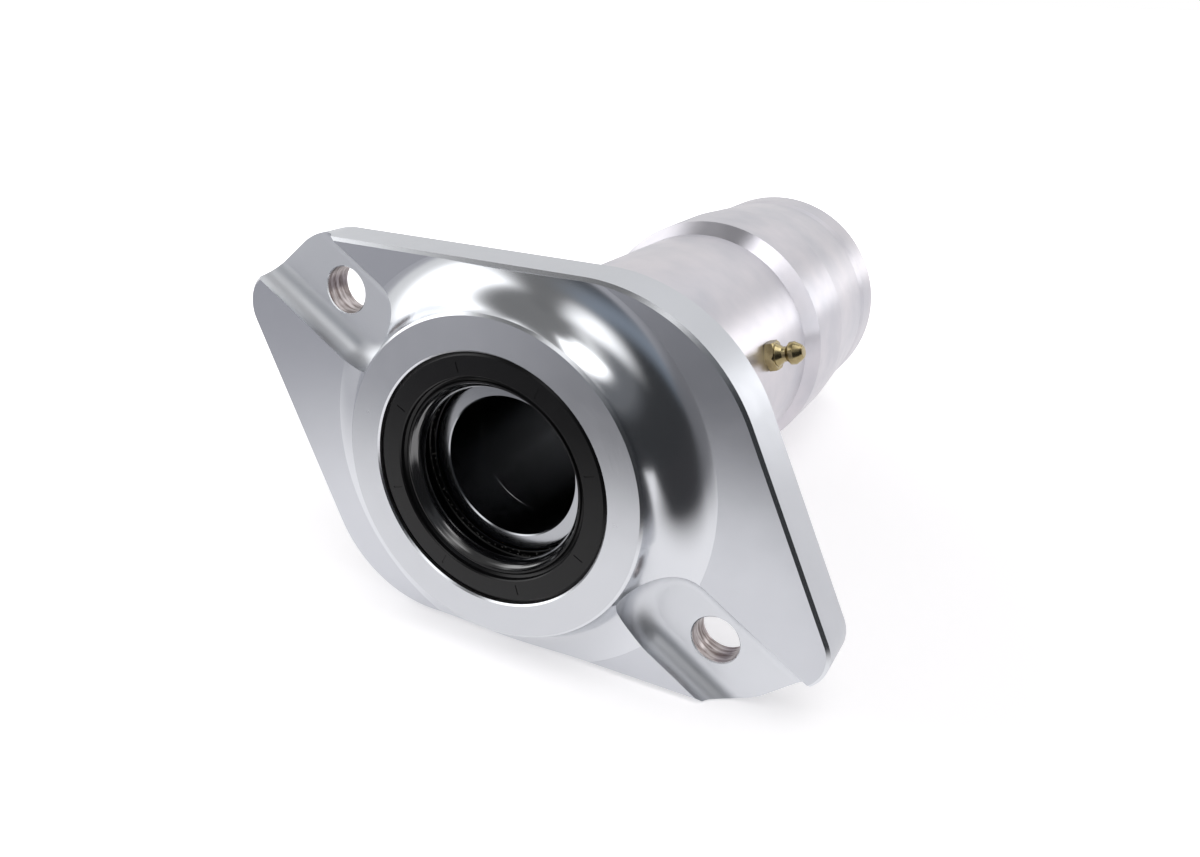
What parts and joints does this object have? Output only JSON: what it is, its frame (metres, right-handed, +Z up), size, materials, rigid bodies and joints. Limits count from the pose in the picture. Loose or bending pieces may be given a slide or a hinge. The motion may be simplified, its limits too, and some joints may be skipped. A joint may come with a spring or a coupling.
{
  "type": "axle bearing carrier",
  "caption": "Billet aluminium axle bearing carrier: a pocketed two-bolt flange on a tube, with a ball bearing and an oil seal at each end.",
  "frame": {"origin": "on the axle axis at the plane of the boss face, which is the mouth of the front bearing bore", "axes": "+Y along the axle axis from the flange to the rear end of the tube, +Z up and square to the flange's two straight edges, +X toward the grease nipple"},
  "size_m": [0.161, 0.2, 0.0966],
  "materials": {
    "billet_aluminium": "bright machined",
    "turned_steel": "turned",
    "spring_steel": "phosphated",
    "bearing_steel": "ground",
    "ball_steel": "polished",
    "cage_brass": "machined",
    "nipple_brass": "yellow passivated",
    "seal_rubber": "moulded, slightly glossy",
    "shield_rubber": "moulded"
  },
  "bodies": {
    "carrier": {"carrier_body": "billet_aluminium", "front_retaining_ring": "spring_steel", "front_seal_rubber": "seal_rubber", "front_seal_case": "spring_steel", "front_seal_spring": "spring_steel", "rear_seal_rubber": "seal_rubber", "rear_seal_case": "spring_steel", "rear_seal_spring": "spring_steel", "front_outer_race": "bearing_steel", "front_shield_outboard": "shield_rubber", "front_shield_inboard": "shield_rubber", "rear_outer_race": "bearing_steel", "rear_shield_outboard": "shield_rubber", "rear_shield_inboard": "shield_rubber", "grease_nipple_body": "nipple_brass", "grease_nipple_spring": "spring_steel"},
    "axle_sleeve": {"front_inner_race": "bearing_steel", "spacer_tube": "turned_steel", "rear_inner_race": "bearing_steel"},
    "front_ball_train": {"front_balls": "ball_steel", "front_cage": "cage_brass"},
    "rear_ball_train": {"rear_balls": "ball_steel", "rear_cage": "cage_brass"},
    "check_valve": {"grease_nipple_ball": "ball_steel"}
  },
  "joints": [
    {"name": "axle_spin", "type": "hinge", "parent": "carrier", "child": "axle_sleeve", "pos_m": [0, 0.1, 0], "axis": [0, 1, 0], "continuous": true},
    {"name": "front_ball_orbit", "type": "hinge", "parent": "carrier", "child": "front_ball_train", "pos_m": [0, 0.0172, 0], "axis": [0, 1, 0], "continuous": true},
    {"name": "rear_ball_orbit", "type": "hinge", "parent": "carrier", "child": "rear_ball_train", "pos_m": [0, 0.1848, 0], "axis": [0, 1, 0], "continuous": true},
    {"name": "check_ball_lift", "type": "slide", "parent": "carrier", "child": "check_valve", "axis": [-0.9537, 0, -0.3007], "range_m": [0, 0.0008], "deforming": ["grease_nipple_spring"]}
  ],
  "couplings": [
    {"joint": "front_ball_orbit", "follows": "axle_spin", "ratio": 0.41814},
    {"joint": "rear_ball_orbit", "follows": "axle_spin", "ratio": 0.41814}
  ]
}
